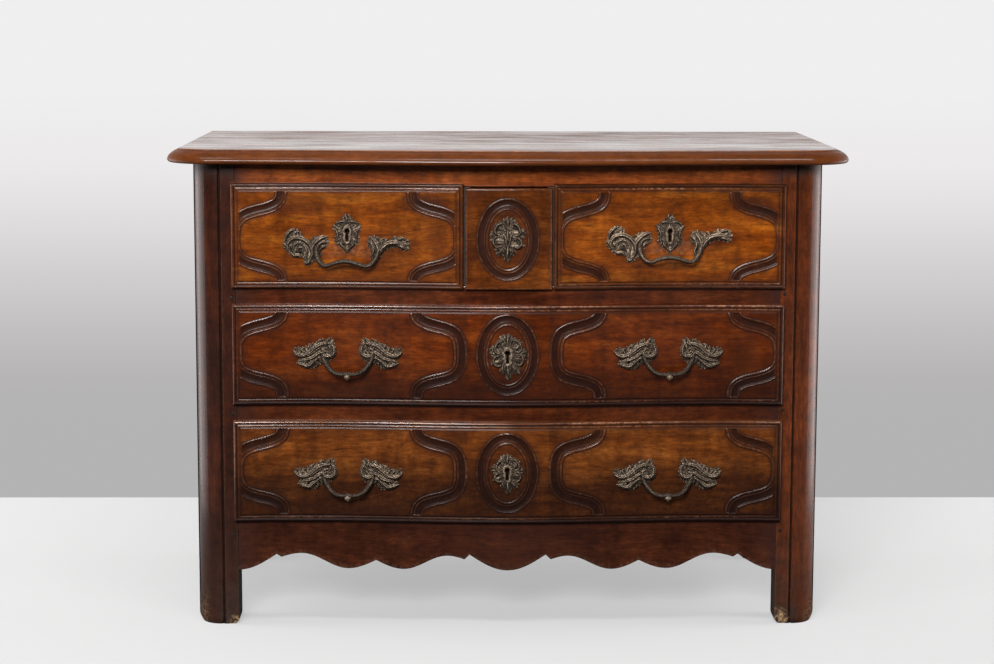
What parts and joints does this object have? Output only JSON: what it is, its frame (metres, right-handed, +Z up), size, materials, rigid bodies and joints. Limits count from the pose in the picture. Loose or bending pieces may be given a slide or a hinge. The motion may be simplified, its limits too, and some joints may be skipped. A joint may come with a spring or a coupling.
{
  "type": "commode",
  "caption": "Walnut chest of drawers with a moulded bowed top, rounded posts, carved cartouche drawer fronts, a scalloped apron and rocaille bronze handles.",
  "frame": {"origin": "on the floor, at the middle of the commode's bounding box", "axes": "+X to the right seen from the front, +Y to the back, +Z up; the drawers open along -Y"},
  "size_m": [1.265, 0.625, 0.9],
  "materials": {
    "walnut_top": "old wax polish, semi-gloss",
    "walnut_front": "old wax polish, semi-gloss",
    "walnut_panel": "old wax polish, semi-gloss",
    "walnut_frame": "old wax polish, dark",
    "oak": "bare planed wood",
    "bronze": "aged cast bronze",
    "iron": "dull hand-filed iron"
  },
  "bodies": {
    "carcass": {"top_front_board": "walnut_top", "top_rear_board": "walnut_top", "post_front_left": "walnut_frame", "post_front_right": "walnut_frame", "post_rear_left": "walnut_frame", "post_rear_right": "walnut_frame", "rail_top": "walnut_frame", "rail_upper": "walnut_frame", "rail_lower": "walnut_frame", "apron": "walnut_frame", "side_rail_top_left": "walnut_frame", "side_rail_top_right": "walnut_frame", "side_rail_bottom_left": "walnut_frame", "side_rail_bottom_right": "walnut_frame", "side_panel_left": "walnut_panel", "side_panel_right": "walnut_panel", "back_board_lower": "oak", "back_board_upper": "oak", "dust_board_upper": "oak", "dust_board_lower": "oak", "bottom_board": "oak", "partition_left": "oak", "partition_right": "oak"},
    "drawer_top_left": {"drawer_top_left_front": "walnut_front", "drawer_top_left_side_left": "oak", "drawer_top_left_side_right": "oak", "drawer_top_left_back": "oak", "drawer_top_left_bottom": "oak", "handle_top_left": "bronze", "escutcheon_top_left": "bronze", "lock_top_left": "iron"},
    "drawer_top_right": {"drawer_top_right_front": "walnut_front", "drawer_top_right_side_left": "oak", "drawer_top_right_side_right": "oak", "drawer_top_right_back": "oak", "drawer_top_right_bottom": "oak", "handle_top_right": "bronze", "escutcheon_top_right": "bronze", "lock_top_right": "iron"},
    "drawer_secret": {"secret_front": "walnut_front", "secret_tray": "oak", "mount_secret": "bronze"},
    "drawer_middle": {"drawer_middle_front": "walnut_front", "drawer_middle_side_left": "oak", "drawer_middle_side_right": "oak", "drawer_middle_back": "oak", "drawer_middle_bottom": "oak", "handle_middle_left": "bronze", "handle_middle_right": "bronze", "escutcheon_middle": "bronze", "lock_middle": "iron"},
    "drawer_lower": {"drawer_lower_front": "walnut_front", "drawer_lower_side_left": "oak", "drawer_lower_side_right": "oak", "drawer_lower_back": "oak", "drawer_lower_bottom": "oak", "handle_lower_left": "bronze", "handle_lower_right": "bronze", "escutcheon_lower": "bronze", "lock_lower": "iron"}
  },
  "joints": [
    {"name": "drawer_top_left_slide", "type": "slide", "parent": "carcass", "child": "drawer_top_left", "axis": [0, -1, 0], "range_m": [0, 0.4]},
    {"name": "drawer_top_right_slide", "type": "slide", "parent": "carcass", "child": "drawer_top_right", "axis": [0, -1, 0], "range_m": [0, 0.4]},
    {"name": "drawer_secret_slide", "type": "slide", "parent": "carcass", "child": "drawer_secret", "axis": [0, -1, 0], "range_m": [0, 0.38]},
    {"name": "drawer_middle_slide", "type": "slide", "parent": "carcass", "child": "drawer_middle", "axis": [0, -1, 0], "range_m": [0, 0.4]},
    {"name": "drawer_lower_slide", "type": "slide", "parent": "carcass", "child": "drawer_lower", "axis": [0, -1, 0], "range_m": [0, 0.4]}
  ]
}
